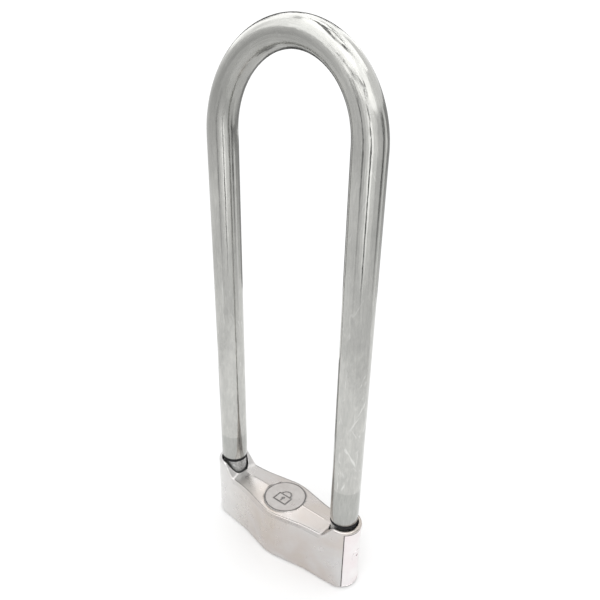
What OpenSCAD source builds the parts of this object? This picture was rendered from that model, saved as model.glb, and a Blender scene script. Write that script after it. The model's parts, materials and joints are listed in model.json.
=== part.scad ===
// U lock: a long round-bar shackle that stands in a cast crossbar, with a
// key cylinder in the middle of the crossbar that drives one bolt into each foot.
// Millimetres. The origin is the centre of the crossbar's underside, X runs along
// the crossbar, Y from its front to its back and Z up the shackle legs.
// The lock is drawn shut but unlocked: both bolts are drawn in, clear of the feet.

/* [Shackle] */
// Distance between the centre lines of the two legs
leg_spacing = 88; // [70:1:110]
// Diameter of the shackle bar
bar_d = 16; // [14:0.5:16]
// Height of the bend's centre above the crossbar's underside
bend_z = 242.5; // [120:0.5:320]
// Height of the shoulder where the full bar diameter ends
shoulder_z = 44.5; // [44:0.1:46]
// Height of the foot's lower tip
foot_tip_z = 12; // [11.7:0.1:14]
// Diameter of the turned-down foot
foot_d = 14.4; // [13:0.1:14.5]
// Diameter at the bottom of the locking groove
groove_d = 8.4; // [7.5:0.1:9]
// Width of the locking groove
groove_w = 8.4; // [8:0.1:9]

/* [Crossbar] */
// Radius of the rounded ends, about the leg centre lines
end_r = 10.4; // [10.2:0.1:12]
// Half depth of the crossbar at its middle
nose_depth = 16.6; // [16:0.1:18]
// Radius of the soft nose at the middle of the front and back
nose_r = 30; // [25:1:40]
// Distance from the middle at which the flanks start to flare
flare_x = 24; // [20:1:28]
// Half depth where the flanks start to flare
flare_depth = 12.1; // [11.5:0.1:12.5]
// Height of the ridge that runs along the top
ridge_z = 34.5; // [34:0.1:36]
// Fall of the roof for each millimetre away from the ridge
roof_fall = 0.1266; // [0.08:0.01:0.15]
// Height of the collars around the legs
collar_z = 42.3; // [41:0.1:43]
// Distance from the middle at which the collar ramps begin
ramp_x = 36; // [35.8:0.1:36.5]
// Height at which the collar ramps begin
ramp_z = 33.3; // [33:0.1:34]
// Length of a collar ramp along the crossbar
ramp_run = 7.2; // [6:0.1:8]

/* [Medallion] */
// Radius of the flat round medallion on the top
medal_r = 13.4; // [12:0.1:14]
// Height of the medallion's flat
medal_z = 33.7; // [33.4:0.1:34]
// Outer radius of the engraved ring
ring_r = 13.0; // [11:0.1:13.2]
// Width of the engraved lines
line_w = 0.8; // [0.6:0.1:1.2]
// Depth of the engraving
line_depth = 0.6; // [0.4:0.1:1]

/* [Locking bolts] */
// Height of the bolts' common centre line
bolt_z = 22.8; // [22.7:0.1:23.2]
// Diameter of a bolt
bolt_d = 7.2; // [6.8:0.1:7.2]
// Distance from the middle to a bolt's inner end when drawn in
bolt_in_x = 4; // [3.8:0.1:4.2]
// Distance from the middle to a bolt's tip when drawn in
bolt_tip_x = 35.2; // [34.8:0.1:35.3]
// Throw of each bolt for a quarter turn of the key
bolt_throw = 4.2; // [3.8:0.1:4.2]
// Distance from the middle to a drive pin when the bolt is drawn in
pin_x = 5.6; // [5.6:0.1:5.8]
// Diameter of a drive pin
drive_pin_d = 2.4; // [2:0.1:2.4]

/* [Cylinder] */
// Radius of the cylinder housing
housing_r = 12.45; // [12:0.05:12.45]
// Height of the top of the housing
housing_top = 16.8; // [16.5:0.1:17]
// Radius of the rotating plug
plug_r = 6.45; // [6.2:0.05:6.5]
// Number of pin stacks
pin_count = 5; // [5:1:5]
// Height of the lowest pin stack
first_pin_z = 4; // [3.8:0.1:4.2]
// Spacing of the pin stacks
pin_pitch = 2.6; // [2.5:0.05:2.65]
// Diameter of the tumbler pins
tumbler_d = 2.2; // [1.8:0.1:2.2]
// Length of a driver pin
driver_len = 2.2; // [2:0.1:2.4]

/* [Hidden] */
$fn = 96;
SMALL_FN = 48;
half = leg_spacing / 2;
bar_r = bar_d / 2;
foot_r = foot_d / 2;
groove_r = groove_d / 2;

// Sockets, bushes and the rings under the shoulders
socket_r = foot_r + 1.1;
socket_floor = 11.5;
bush_r = foot_r + 0.15;
bush_low = [12, 18.2];
bush_high = [27.3, 32.2];
ring_low = 42.7;
ring_gap = 0.05;
shoulder_bevel = 0.8;
tip_bevel = 1.5;

// How far straight flanks bite into the arcs they meet
bite = 0.02;

// Bolt channels, the central bore and the drive between plug and bolts
bolt_r = bolt_d / 2;
channel_r = bolt_r + 0.05;
bore_r = housing_r + 0.05;
bore_top = 26.8;
cam_low = housing_top + 0.2;
cam_high = cam_low + 2;
cam_r = bore_r - 0.3;
drive_pin_r = drive_pin_d / 2;
drive_pin_z = [cam_low + 0.1, 24.5];
slot_half = drive_pin_r + 0.12;
tail = 5;
tail_fit = 0.04;
screw_head_r = 3.2;
screw_head_h = 1.3;
screw_r = 1.2;
screw_len = 5;
dimple_r = 0.8;

// Plug, keyway, shutter and the drilled details of the housing
face_low = 0.2;
slide_low = 0.8;
plug_low = 1.8;
plug_gap = 0.05;
flange_r = 7.2;
flange_h = 1;
keyway_w = 1.6;
keyway_y = [-4.4, 3.4];
keyway_top = 16;
ward = 0.5;
chamber_r = tumbler_d / 2 + 0.05;
chamber_floor = 0.2;
shear_y = plug_r - 0.05;
driver_y = plug_r + 0.1;
spring_y = driver_y + driver_len;
cap_y = 11.3;
cap_r = 1.35;
cap_len = 0.9;
key_pin_len = [3.4, 4.4, 3.0, 4.0, 3.7];
pin_tip = 0.7;
window_y = [-4.6, 3.8];
window_x = [-4, 11.4];
slide_y = [-5.8, 5.0];
slide_x = -3.5;
shutter_x = [-3.3, 3.3];
shutter_gap = 0.1;
nub_r = 1.2;
face_screw_at = [[-9.6, 0], [5.5, 8.2], [5.5, -8.2]];
face_screw_r = 0.8;
face_screw_top = 4.6;
face_head_r = 1.4;
face_head_top = 1.0;
cross_pin_x = 8.7;
cross_pin_z = 9.2;
cross_pin_r = 1.2;
cross_pin_y = [-8, 14.9];
drill_pin_at = [6, -6];
drill_pin_r = 1;
drill_pin_z = [2.2, 7];

// Springs behind the driver pins
wire_r = 0.17;
spring_turns = 4.5;
spring_sides = 6;
spring_steps = 14;

plated = [0.78, 0.78, 0.75];
satin = [0.82, 0.80, 0.78];
hardened = [0.55, 0.56, 0.58];
brassy = [0.80, 0.66, 0.35];
rubber = [0.06, 0.06, 0.06];

// Both legs or both ends: the same thing at +X and mirrored at -X
module both_sides() {
    children();
    mirror([1, 0, 0]) children();
}

// A cylinder along +Y, from y = span[0] to y = span[1]
module along_y(x, z, r, span) {
    translate([x, span[0], z]) rotate([-90, 0, 0]) cylinder(r = r, h = span[1] - span[0], $fn = SMALL_FN);
}

// A cylinder along +X, from x = span[0] to x = span[1]
module along_x(z, r, span) {
    translate([span[0], 0, z]) rotate([0, 90, 0]) cylinder(r = r, h = span[1] - span[0]);
}

// The point where a line from p touches a circle about c, on the side given by turn
function touch(p, c, r, turn) =
    let (d = norm(p - c), reach = sqrt(d * d - r * r), swing = turn * asin(r / d),
         aim = atan2(c[1] - p[1], c[0] - p[0]) + swing)
    p + reach * [cos(aim), sin(aim)];

function pin_z(i) = first_pin_z + i * pin_pitch;

/* Shackle: turned foot, groove, shoulder, leg and a half-round bend */
module foot_profile() {
    groove_low = bolt_z - groove_w / 2;
    groove_high = bolt_z + groove_w / 2;
    polygon([[0, foot_tip_z], [foot_r - tip_bevel, foot_tip_z], [foot_r, foot_tip_z + tip_bevel],
             [foot_r, groove_low], [groove_r, groove_low], [groove_r, groove_high],
             [foot_r, groove_high], [foot_r, shoulder_z], [bar_r - shoulder_bevel, shoulder_z],
             [bar_r, shoulder_z + shoulder_bevel], [bar_r, bend_z], [0, bend_z]]);
}

module shackle() {
    color(plated) union() {
        both_sides() translate([half, 0, 0]) rotate_extrude() foot_profile();
        translate([0, 0, bend_z]) rotate([90, 0, 0]) rotate_extrude(angle = 180)
            translate([half, 0]) circle(r = bar_r);
    }
}

// Rubber rings under the shoulders, which stop the shackle rattling on the collars
module shoulder_rings() {
    ring_round = (shoulder_z - ring_low) / 2 - ring_gap;
    color(rubber) both_sides() translate([half, 0, 0]) rotate_extrude() intersection() {
        translate([foot_r - 0.15, (shoulder_z + ring_low) / 2]) circle(r = ring_round, $fn = SMALL_FN);
        translate([foot_r, 0]) square([2, shoulder_z]);
    }
}

/* Crossbar casting */
// The flanks run a hair inside the true tangents, so that they cut the round ends and nose cleanly
module outline() {
    corner = [flare_x, flare_depth];
    end_touch = touch(corner, [half, 0], end_r - bite, 1);
    nose = [0, nose_depth - nose_r];
    nose_touch = touch(corner, nose, nose_r - bite, -1);
    nose_half = nose_touch[0] + 3;
    union() {
        both_sides() translate([half, 0]) circle(r = end_r);
        for (side = [0, 1]) mirror([0, side]) {
            polygon([[-half, 0], [-end_touch[0], end_touch[1]], [-corner[0], corner[1]],
                     [-nose_touch[0], nose_touch[1]], nose_touch, corner, end_touch, [half, 0]]);
            intersection() {
                translate(nose) circle(r = nose_r, $fn = 180);
                translate([-nose_half, 0]) square([2 * nose_half, nose_depth + 1]);
            }
        }
    }
}

// Everything above the pitched roof, lowered by drop
module above_roof(drop = 0) {
    eaves = 2 * nose_depth;
    eaves_z = ridge_z - drop - roof_fall * eaves;
    translate([-half - 20, 0, 0]) rotate([90, 0, 90]) linear_extrude(2 * half + 40)
        polygon([[-eaves, eaves_z], [0, ridge_z - drop], [eaves, eaves_z], [eaves, 60], [-eaves, 60]]);
}

// Everything above the two collar ramps
module above_ramps() {
    top_x = ramp_x + ramp_run;
    low_x = ramp_x - 4;
    rise = (collar_z - ramp_z) / ramp_run;
    low_z = ramp_z - 4 * rise;
    rotate([90, 0, 0]) translate([0, 0, -40]) linear_extrude(80)
        polygon([[-top_x, collar_z], [-low_x, low_z], [low_x, low_z], [top_x, collar_z],
                 [top_x, 60], [-top_x, 60]]);
}

// A plain closed-padlock sign, engraved in the medallion
module padlock_sign() {
    bow_r = 3.2;
    body_w = 10;
    body_h = 7;
    difference() {
        union() {
            translate([0, 1]) circle(r = bow_r + line_w / 2);
            translate([-body_w / 2, -body_h + 1]) square([body_w, body_h]);
        }
        translate([0, 1]) circle(r = bow_r - line_w / 2);
        translate([-body_w / 2 + line_w, -body_h + 1 + line_w])
            square([body_w - 2 * line_w, body_h - 2 * line_w]);
    }
    translate([0, -1.8]) circle(r = 1, $fn = SMALL_FN);
    translate([-0.4, -4]) square([0.8, 2]);
}

module crossbar_body() {
    color(satin) difference() {
        union() {
            difference() {
                linear_extrude(collar_z) outline();
                intersection() {
                    above_roof();
                    above_ramps();
                }
            }
            cylinder(r = medal_r, h = medal_z);
        }
        translate([0, 0, medal_z]) cylinder(r = medal_r, h = 10);
        translate([0, 0, medal_z - line_depth]) difference() {
            cylinder(r = ring_r, h = 10);
            translate([0, 0, -1]) cylinder(r = ring_r - line_w, h = 12);
        }
        translate([0, 0, medal_z - line_depth]) linear_extrude(10) padlock_sign();
        both_sides() translate([half, 0, socket_floor]) cylinder(r = socket_r, h = 60);
        both_sides() along_x(bolt_z, channel_r, [bore_r - 2, half + end_r + 1]);
        translate([0, 0, -1]) cylinder(r = bore_r, h = bore_top + 1);
        along_y(cross_pin_x, cross_pin_z, cross_pin_r, [cross_pin_y[0] - 0.5, nose_depth + 2]);
    }
}

// Nylon rings that line the sockets above and below the locking grooves
module socket_bushes() {
    color(rubber) both_sides() for (span = [bush_low, bush_high])
        translate([half, 0, span[0]]) difference() {
            cylinder(r = socket_r, h = span[1] - span[0]);
            translate([0, 0, -1]) cylinder(r = bush_r, h = span[1] - span[0] + 2);
        }
}

// Pressed plugs that close the ends of the bolt drillings, dressed flush with the ends
module end_plugs() {
    color(satin) both_sides() difference() {
        intersection() {
            along_x(bolt_z, channel_r, [half, half + end_r + 1]);
            translate([half, 0, 0]) cylinder(r = end_r, h = collar_z);
        }
        translate([half, 0, 0]) cylinder(r = socket_r, h = collar_z);
        along_x(bolt_z, dimple_r, [half + end_r - 0.8, half + end_r + 1]);
    }
}

/* Locking bolts, drawn for the right-hand side */
module lock_bolt() {
    bevel = 0.8;
    color(hardened) difference() {
        union() {
            along_x(bolt_z, bolt_r, [bolt_in_x, bolt_tip_x - bevel]);
            translate([bolt_tip_x - bevel, 0, bolt_z]) rotate([0, 90, 0])
                cylinder(r1 = bolt_r, r2 = bolt_r - bevel, h = bevel);
        }
        translate([pin_x, 0, 0]) cylinder(r = drive_pin_r, h = drive_pin_z[1], $fn = SMALL_FN);
    }
}

module bolt_pin() {
    color(hardened) translate([pin_x, 0, drive_pin_z[0]])
        cylinder(r = drive_pin_r, h = drive_pin_z[1] - drive_pin_z[0], $fn = SMALL_FN);
}

module lock_bolt_left() { mirror([1, 0, 0]) lock_bolt(); }
module lock_bolt_right() { lock_bolt(); }
module bolt_pin_left() { mirror([1, 0, 0]) bolt_pin(); }
module bolt_pin_right() { bolt_pin(); }

/* Cylinder */
module cylinder_housing() {
    color(brassy) difference() {
        translate([0, 0, plug_low]) cylinder(r = housing_r, h = housing_top - plug_low);
        translate([0, 0, plug_low - 1]) cylinder(r = plug_r + plug_gap, h = housing_top);
        translate([0, 0, plug_low - 1]) cylinder(r = flange_r + plug_gap, h = flange_h + 1 + plug_gap);
        for (at = face_screw_at) translate([at[0], at[1], 0])
            cylinder(r = face_screw_r, h = face_screw_top + 0.2, $fn = SMALL_FN);
        for (i = [0 : pin_count - 1]) {
            along_y(0, pin_z(i), chamber_r, [plug_r - 1, housing_r + 1]);
            along_y(0, pin_z(i), cap_r, [cap_y, housing_r + 1]);
        }
        along_y(cross_pin_x, cross_pin_z, cross_pin_r, [cross_pin_y[0] - 0.5, nose_depth]);
        both_sides() translate([drill_pin_at[0], drill_pin_at[1], drill_pin_z[0]])
            cylinder(r = drill_pin_r, h = drill_pin_z[1] - drill_pin_z[0], $fn = SMALL_FN);
    }
}

module cylinder_cross_pin() {
    color(hardened) along_y(cross_pin_x, cross_pin_z, cross_pin_r, cross_pin_y);
}

module anti_drill_pins() {
    color(hardened) both_sides() translate([drill_pin_at[0], drill_pin_at[1], drill_pin_z[0]])
        cylinder(r = drill_pin_r, h = drill_pin_z[1] - drill_pin_z[0], $fn = SMALL_FN);
}

// Disc that closes the cylinder's underside, with a window for the key and a slide for its shutter
module face_plate() {
    color(hardened) difference() {
        translate([0, 0, face_low]) cylinder(r = housing_r, h = plug_low - face_low);
        translate([window_x[0], window_y[0], -1])
            cube([window_x[1] - window_x[0], window_y[1] - window_y[0], slide_low + 2]);
        translate([slide_x, slide_y[0], slide_low])
            cube([housing_r - slide_x + 1, slide_y[1] - slide_y[0], plug_low]);
        for (at = face_screw_at) translate([at[0], at[1], 0]) {
            cylinder(r = face_screw_r, h = 5, $fn = SMALL_FN);
            cylinder(r = face_head_r, h = face_head_top, $fn = SMALL_FN);
        }
    }
}

module face_screws() {
    slot_w = 0.5;
    color(hardened) for (at = face_screw_at) translate([at[0], at[1], 0]) difference() {
        union() {
            translate([0, 0, face_low + 0.1])
                cylinder(r = face_screw_r, h = face_screw_top - face_low - 0.1, $fn = SMALL_FN);
            translate([0, 0, face_low + 0.1])
                cylinder(r = face_head_r, h = face_head_top - face_low - 0.1, $fn = SMALL_FN);
        }
        translate([-face_head_r, -slot_w / 2, 0]) cube([2 * face_head_r, slot_w, face_low + 0.5]);
    }
}

// Sliding cover over the keyway, held above the lips of the face plate
module keyhole_shutter() {
    low = slide_low + shutter_gap;
    color(rubber) union() {
        translate([shutter_x[0], slide_y[0] + shutter_gap, low])
            cube([shutter_x[1] - shutter_x[0], slide_y[1] - slide_y[0] - 2 * shutter_gap,
                  plug_low - low - shutter_gap]);
        translate([0, (window_y[0] + window_y[1]) / 2, face_low + 0.2])
            cylinder(r = nub_r, h = low - face_low, $fn = SMALL_FN);
    }
}

module lock_plug() {
    color(brassy) difference() {
        union() {
            translate([0, 0, plug_low]) cylinder(r = plug_r, h = housing_top - plug_low);
            translate([0, 0, plug_low]) cylinder(r = flange_r, h = flange_h);
            translate([-tail / 2, -tail / 2, housing_top - 1]) cube([tail, tail, cam_high - housing_top + 1]);
        }
        translate([-keyway_w / 2, keyway_y[0], plug_low - 1])
            cube([keyway_w, 3, keyway_top - plug_low + 1]);
        translate([-keyway_w / 2 + ward, keyway_y[0] + 2.9, plug_low - 1])
            cube([keyway_w, 1.6, keyway_top - plug_low + 1]);
        translate([-keyway_w / 2, keyway_y[0] + 4.4, plug_low - 1])
            cube([keyway_w, keyway_y[1] - keyway_y[0] - 4.4, keyway_top - plug_low + 1]);
        for (i = [0 : pin_count - 1]) along_y(0, pin_z(i), chamber_r, [chamber_floor, plug_r + 1]);
        translate([0, 0, cam_high - screw_len - 0.3]) cylinder(r = screw_r + 0.03, h = 20, $fn = SMALL_FN);
    }
}

// Radius of the spiral slots' centre line after the cam has turned by a degrees
function slot_r(a) = pin_x + bolt_throw * a / 90;

// A point of the slot's edge, square to the spiral and side away from its centre line
function slot_edge(a, side) =
    let (r = slot_r(a), rate = bolt_throw / 90 * 180 / PI,
         along = [rate * cos(-a) + r * sin(-a), rate * sin(-a) - r * cos(-a)],
         out = [-along[1], along[0]] / norm(along))
    r * [cos(-a), sin(-a)] + side * slot_half * out;

module spiral_slot() {
    spare = 1;
    step = 3;
    angles = [for (a = [-spare : step : 90 + spare + step / 2]) min(a, 90 + spare)];
    last = len(angles) - 1;
    polygon(concat([for (a = angles) slot_edge(a, 1)],
                   [for (i = [last : -1 : 0]) slot_edge(angles[i], -1)]));
    for (a = [-spare, 90 + spare])
        translate(slot_r(a) * [cos(-a), sin(-a)]) circle(r = slot_half + bite, $fn = SMALL_FN);
}

// Disc on the plug's tail: its two spiral slots push both bolts out evenly as it turns
module drive_cam() {
    hole = tail / 2 + tail_fit;
    color(hardened) translate([0, 0, cam_low]) linear_extrude(cam_high - cam_low) difference() {
        circle(r = cam_r);
        translate([-hole, -hole]) square(2 * hole);
        for (turn = [0, 180]) rotate(turn) spiral_slot();
    }
}

module cam_screw() {
    color(hardened) difference() {
        union() {
            translate([0, 0, cam_high - screw_len]) cylinder(r = screw_r, h = screw_len + 0.2, $fn = SMALL_FN);
            translate([0, 0, cam_high + 0.02]) cylinder(r = screw_head_r, h = screw_head_h, $fn = SMALL_FN);
        }
        translate([-screw_head_r, -0.4, cam_high + screw_head_h - 0.6]) cube([2 * screw_head_r, 0.8, 2]);
    }
}

/* Tumblers: one stack each, numbered from the key's entry inwards */
module key_pin(i) {
    tip_y = shear_y - key_pin_len[i];
    color(brassy) {
        along_y(0, pin_z(i), tumbler_d / 2, [tip_y + pin_tip, shear_y]);
        translate([0, tip_y, pin_z(i)]) rotate([-90, 0, 0])
            cylinder(r1 = tumbler_d / 2 - pin_tip, r2 = tumbler_d / 2, h = pin_tip, $fn = SMALL_FN);
    }
}

module driver_pin(i) {
    color(hardened) along_y(0, pin_z(i), tumbler_d / 2, [driver_y, driver_y + driver_len]);
}

// One ring of the spring's wire, square to the coil at angle a
function wire_ring(a, lead, coil_r) = [for (s = [0 : spring_sides - 1])
    let (w = s * 360 / spring_sides, r = coil_r + wire_r * cos(w))
    [r * cos(a), lead * a / 360 + wire_r * sin(w), r * sin(a)]];

module pin_spring(i) {
    coil_r = tumbler_d / 2 - wire_r - 0.1;
    room = cap_y - spring_y - 2 * wire_r - 0.04;
    lead = room / spring_turns;
    rings = spring_turns * spring_steps;
    points = [for (k = [0 : rings]) each wire_ring(k * 360 / spring_steps, lead, coil_r)];
    skin = [for (k = [0 : rings - 1], s = [0 : spring_sides - 1])
        let (a = k * spring_sides, n = (s + 1) % spring_sides)
        [a + s, a + n, a + n + spring_sides, a + s + spring_sides]];
    caps = [[for (s = [spring_sides - 1 : -1 : 0]) s],
            [for (s = [0 : spring_sides - 1]) rings * spring_sides + s]];
    color(hardened) translate([0, spring_y + wire_r + 0.02, pin_z(i)])
        polyhedron(points = points, faces = concat(skin, caps), convexity = 6);
}

module spring_caps() {
    color(brassy) for (i = [0 : pin_count - 1]) along_y(0, pin_z(i), cap_r, [cap_y, cap_y + cap_len]);
}

shackle();
shoulder_rings();
crossbar_body();
socket_bushes();
end_plugs();
lock_bolt_left();
lock_bolt_right();
bolt_pin_left();
bolt_pin_right();
cylinder_housing();
cylinder_cross_pin();
anti_drill_pins();
face_plate();
face_screws();
keyhole_shutter();
lock_plug();
drive_cam();
cam_screw();
key_pin(0);  // key_pin_1
key_pin(1);  // key_pin_2
key_pin(2);  // key_pin_3
key_pin(3);  // key_pin_4
key_pin(4);  // key_pin_5
driver_pin(0);  // driver_pin_1
driver_pin(1);  // driver_pin_2
driver_pin(2);  // driver_pin_3
driver_pin(3);  // driver_pin_4
driver_pin(4);  // driver_pin_5
pin_spring(0);  // pin_spring_1
pin_spring(1);  // pin_spring_2
pin_spring(2);  // pin_spring_3
pin_spring(3);  // pin_spring_4
pin_spring(4);  // pin_spring_5
spring_caps();
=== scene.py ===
import json
import math

import bpy
import numpy as np
from mathutils import Matrix, Vector


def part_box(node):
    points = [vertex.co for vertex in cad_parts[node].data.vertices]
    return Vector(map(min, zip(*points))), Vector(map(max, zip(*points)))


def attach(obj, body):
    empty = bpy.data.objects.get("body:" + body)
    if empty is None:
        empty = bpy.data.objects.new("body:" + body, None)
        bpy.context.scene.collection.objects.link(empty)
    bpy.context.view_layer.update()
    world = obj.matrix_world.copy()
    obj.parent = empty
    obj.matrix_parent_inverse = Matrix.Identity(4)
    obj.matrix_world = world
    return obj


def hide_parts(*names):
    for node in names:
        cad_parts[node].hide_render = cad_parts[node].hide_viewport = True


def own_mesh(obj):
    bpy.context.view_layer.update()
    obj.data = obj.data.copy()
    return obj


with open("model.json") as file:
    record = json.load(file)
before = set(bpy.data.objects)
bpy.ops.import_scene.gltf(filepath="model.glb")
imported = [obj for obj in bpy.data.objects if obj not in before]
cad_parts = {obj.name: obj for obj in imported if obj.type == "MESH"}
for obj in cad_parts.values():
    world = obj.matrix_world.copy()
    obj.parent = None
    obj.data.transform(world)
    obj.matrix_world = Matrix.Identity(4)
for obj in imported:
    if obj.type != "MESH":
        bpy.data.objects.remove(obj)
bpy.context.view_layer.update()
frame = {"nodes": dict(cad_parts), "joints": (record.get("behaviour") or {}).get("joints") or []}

MM = 0.001
scene = bpy.context.scene
nodes = frame["nodes"]

# ------------------------------------------------------------ measures from the frame, in metres
shackle_low, shackle_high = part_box("shackle")
body_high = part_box("crossbar_body")[1]
BAR_R = (shackle_high.y - shackle_low.y) / 2
HALF = shackle_high.x - BAR_R  # from the middle to a leg's axis
BEND_Z = shackle_high.z - HALF - BAR_R  # where the legs end and the bend starts
END_R = body_high.x - HALF  # the crossbar's round ends

# ------------------------------------------------------------ shared by shapes and materials
# the medallion and the polished ends, in millimetres
MEDAL_R, MEDAL_Z = 13.4, 33.7
BAND_X, BAND_LOW, BAND_HIGH, BAND_STEP = 50.5, 1.7, 40.6, 0.12
# mesh attributes: where a point of the bar would be if the bar were straight, its length along Z;
# and, for a point of the casting, how far it is outside the outline (X) and above the roof (Y)
BAR_WAY = "bar_way"
EDGE_WAY = "edge_way"

# ------------------------------------------------------------ material helpers
# sets of scratches: slant against the bar in radians, X of the direction that the scratched side
# faces, how drawn out the scratches are, and a number that gives each set its own places
SCRATCH_SETS = ((0.5, 0.63, 0.04, 0.3), (-0.45, 0.63, 0.05, 3.1), (0.35, -0.63, 0.04, 7.7),
                (0, 0.63, 0.05, 5.2))
SCRATCH_FACING_Y = -0.77


class Nodes:
    """A node tree with a Principled shader. make() adds a node and link() joins two sockets. The
    other methods add one node or a few, and return the output."""

    def __init__(self, name):
        self.material = bpy.data.materials.new(name)
        self.material.use_nodes = True
        self.tree = self.material.node_tree
        self.tree.nodes.clear()
        self.out = self.tree.nodes.new("ShaderNodeOutputMaterial")
        self.shader = self.tree.nodes.new("ShaderNodeBsdfPrincipled")
        self.link(self.shader.outputs["BSDF"], self.out.inputs["Surface"])

    def make(self, kind, **values):
        """A node with the given settings and input values. An input's name has _ for a space."""
        node = self.tree.nodes.new(kind)
        for key, value in values.items():
            if hasattr(node, key):
                setattr(node, key, value)
            else:
                node.inputs[key.replace("_", " ")].default_value = value
        return node

    def link(self, source, target):
        self.tree.links.new(source, target)

    def feed(self, socket, value):
        """Sets a socket to a number, or joins an output to it."""
        if isinstance(value, (int, float)):
            socket.default_value = value
        else:
            self.link(value, socket)

    def object_place(self):
        return self.make("ShaderNodeTexCoord").outputs["Object"]

    def attribute(self, name):
        return self.make("ShaderNodeAttribute", attribute_name=name).outputs["Vector"]

    def split(self, vector):
        """The X, Y and Z of a vector as three values."""
        parts = self.make("ShaderNodeSeparateXYZ")
        self.link(vector, parts.inputs["Vector"])
        return parts.outputs["X"], parts.outputs["Y"], parts.outputs["Z"]

    def axes(self):
        return self.split(self.object_place())

    def noise(self, scale, detail, rough, stretch=(1, 1, 1), distortion=0.0, bar=False):
        """Noise over object coordinates, or over the straightened bar. Marks that are drawn out
        along an axis have a small factor there in stretch."""
        mapping = self.make("ShaderNodeMapping", Scale=stretch)
        place = self.attribute(BAR_WAY) if bar else self.object_place()
        self.link(place, mapping.inputs["Vector"])
        node = self.make("ShaderNodeTexNoise", Scale=scale, Detail=detail, Roughness=rough,
                         Distortion=distortion)
        self.link(mapping.outputs["Vector"], node.inputs["Vector"])
        return node.outputs["Fac"]

    def remap(self, value, low, high, to_low, to_high):
        """The value moved from the range low, high to the range to_low, to_high, and kept in it."""
        node = self.make("ShaderNodeMapRange", From_Min=low, From_Max=high, To_Min=to_low,
                         To_Max=to_high)
        self.link(value, node.inputs["Value"])
        return node.outputs["Result"]

    def math(self, operation, *values):
        node = self.make("ShaderNodeMath", operation=operation)
        for socket, value in zip(node.inputs, values):
            self.feed(socket, value)
        return node.outputs["Value"]

    def times(self, first, *others):
        """The product of all the values."""
        for other in others:
            first = self.math("MULTIPLY", first, other)
        return first

    def between(self, value, low, high, soft):
        """1 where value is between low and high, fading to 0 over soft outside."""
        return self.times(self.remap(value, low - soft, low, 0, 1),
                          self.remap(value, high, high + soft, 1, 0))

    def ramp(self, value, *stops):
        """A colour from the value. Each stop is a place between 0 and 1 and the colour there."""
        node = self.make("ShaderNodeValToRGB")
        elements = node.color_ramp.elements
        while len(elements) < len(stops):
            elements.new(0.5)
        for element, (place, colour) in zip(elements, stops):
            element.position = place
            element.color = (*colour, 1)
        self.link(value, node.inputs["Fac"])
        return node.outputs["Color"]

    def layers(self, colour, *covers):
        """The colour with others laid over it in turn, each given with its share from 0 to 1."""
        for share, cover in covers:
            node = self.make("ShaderNodeMix", data_type="RGBA")
            factor, _, _, _, _, _, a, b = tuple(node.inputs)[:8]
            self.link(share, factor)
            self.link(colour, a)
            self.link(cover, b)
            colour = node.outputs[2]
        return colour

    def blend_value(self, share, value, other):
        """The value where share is 0, and the other where it is 1."""
        node = self.make("ShaderNodeMix", data_type="FLOAT")
        factor, _, a, b = tuple(node.inputs)[:4]
        self.link(share, factor)
        self.feed(a, value)
        self.feed(b, other)
        return node.outputs[0]

    def bumps(self, *layers):
        """A normal with bumps on bumps, each a height, its strength and its depth in metres."""
        normal = None
        for height, strength, distance in layers:
            node = self.make("ShaderNodeBump", Strength=strength, Distance=distance)
            self.link(height, node.inputs["Height"])
            if normal is not None:
                self.link(normal, node.inputs["Normal"])
            normal = node.outputs["Normal"]
        return normal

    def scratches(self, x):
        """Thin lines in a few directions, broken up so that only short lengths of some show. A
        slanting set shows only on the leg whose visible side it runs along."""
        total = None
        for slant, facing, stretch, lot in SCRATCH_SETS:
            turned = self.make("ShaderNodeVectorRotate", rotation_type="AXIS_ANGLE",
                               Axis=(facing, SCRATCH_FACING_Y, 0), Angle=slant)
            self.link(self.attribute(BAR_WAY), turned.inputs["Vector"])
            mapping = self.make("ShaderNodeMapping", Location=(lot, 2 * lot, -lot),
                                Scale=(1, 1, stretch))
            self.link(turned.outputs["Vector"], mapping.inputs["Vector"])
            lines = self.make("ShaderNodeTexNoise", Scale=560, Detail=2, Roughness=0.5)
            self.link(mapping.outputs["Vector"], lines.inputs["Vector"])
            patches = self.noise(45 + 9 * lot, 3, 0.6, (1, 1, 0.5), 0.5, bar=True)
            shown = self.times(self.remap(lines.outputs["Fac"], 0.65, 0.675, 0, 1),
                               self.remap(patches, 0.49, 0.56, 0, 1))
            if slant:
                side = "GREATER_THAN" if facing > 0 else "LESS_THAN"
                shown = self.times(shown, self.math(side, x, 0.0))
            total = shown if total is None else self.math("MAXIMUM", total, shown)
        return total


# ------------------------------------------------------------ materials
# heights on the shackle, in metres: the upper edge of the duller band on the left leg and how
# much higher it is on the right leg, the shoulder's edge, and where the scratches thin out
SLEEVE_TOP = (0.0615, 0.0622)
SLEEVE_RISE = 0.0058
SHOULDER_EDGE = (0.0443, 0.0449)
SCRATCHED_UP_TO = (0.13, 0.18)


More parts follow.
